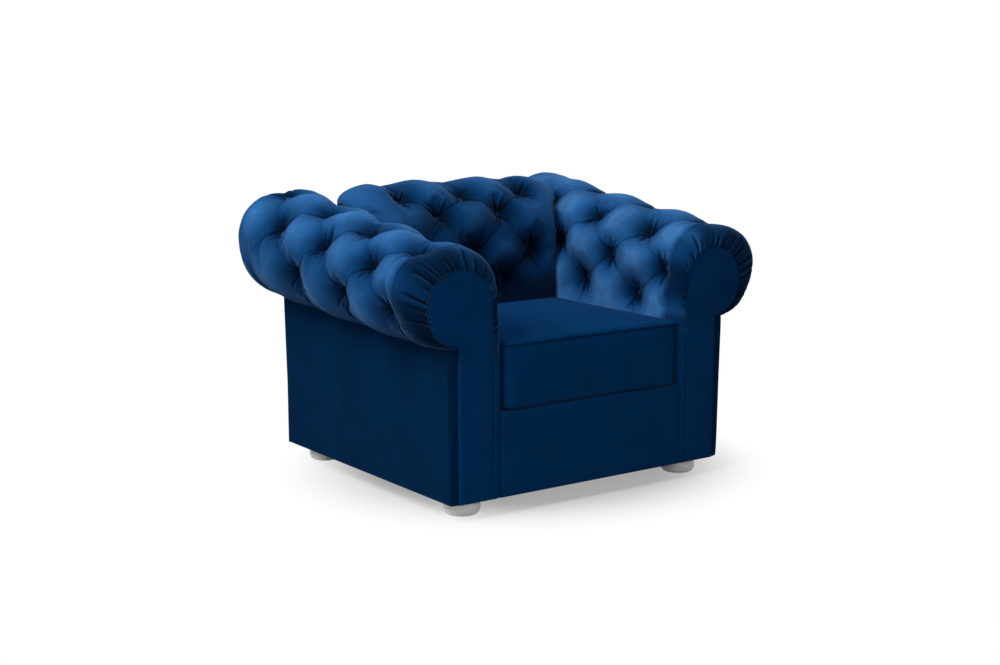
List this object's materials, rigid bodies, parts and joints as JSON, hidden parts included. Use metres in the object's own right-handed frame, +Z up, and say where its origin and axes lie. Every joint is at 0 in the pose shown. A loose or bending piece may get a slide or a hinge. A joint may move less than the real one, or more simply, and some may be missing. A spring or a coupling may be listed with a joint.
{
  "type": "upholstered armchair",
  "caption": "Low rolled-arm armchair with deep-buttoned velvet arms and back, flat scroll facings, a boxed lift-out seat cushion and bun feet.",
  "frame": {"origin": "on the floor, under the centre of the chair's plan outline", "axes": "+Z up, +Y towards the back of the chair, +X to the right seen from the front of the picture, so the seat faces -Y"},
  "size_m": [1.1784, 0.856, 0.7992],
  "materials": {
    "tufted_velvet": "navy velvet pile, deep-buttoned",
    "smooth_velvet": "navy velvet pile, stretched smooth",
    "button_velvet": "buttons covered in the same velvet",
    "timber": "sawn pine and plywood",
    "bent_board": "thin bent hardboard",
    "webbing": "woven jute webbing",
    "deck_felt": "grey deck felt",
    "dust_cloth": "black non-woven cloth",
    "white_lacquer": "satin white lacquer",
    "zinc_steel": "zinc plated"
  },
  "bodies": {
    "chair": {"arm_buttons_left": "button_velvet", "arm_buttons_right": "button_velvet", "arm_core_left": "bent_board", "arm_core_right": "bent_board", "arm_facing_left": "smooth_velvet", "arm_facing_right": "smooth_velvet", "arm_front_board_left": "timber", "arm_front_board_right": "timber", "arm_hem_rail_left": "timber", "arm_hem_rail_right": "timber", "arm_pad_left": "tufted_velvet", "arm_pad_right": "tufted_velvet", "arm_rear_board_left": "timber", "arm_rear_board_right": "timber", "arm_tack_rail_left": "timber", "arm_tack_rail_right": "timber", "arm_top_rail_left": "timber", "arm_top_rail_right": "timber", "back_board_left": "timber", "back_board_right": "timber", "back_buttons": "button_velvet", "back_core": "bent_board", "back_pad": "tufted_velvet", "back_rear_rail": "timber", "back_tack_rail": "timber", "back_top_rail": "timber", "centre_stretcher": "timber", "corner_blocks": "timber", "dust_cover": "dust_cloth", "foot_bolts": "zinc_steel", "foot_front_left": "white_lacquer", "foot_front_right": "white_lacquer", "foot_nuts": "zinc_steel", "foot_plates": "timber", "foot_rear_left": "white_lacquer", "foot_rear_right": "white_lacquer", "front_apron_panel": "smooth_velvet", "front_bottom_rail": "timber", "front_seat_rail": "timber", "inside_arm_panel_left": "smooth_velvet", "inside_arm_panel_right": "smooth_velvet", "outside_arm_panel_left": "smooth_velvet", "outside_arm_panel_right": "smooth_velvet", "outside_back_panel": "smooth_velvet", "rear_bottom_rail": "timber", "rear_seat_rail": "timber", "seat_deck": "deck_felt", "seat_webbing_cross": "webbing", "seat_webbing_long": "webbing", "side_bottom_rail_left": "timber", "side_bottom_rail_right": "timber", "side_seat_rail_left": "timber", "side_seat_rail_right": "timber"},
    "cushion": {"seat_cushion": "smooth_velvet"}
  },
  "joints": [
    {"name": "cushion_lift", "type": "slide", "parent": "chair", "child": "cushion", "axis": [0, 0, 1], "range_m": [0, 0.35]}
  ]
}
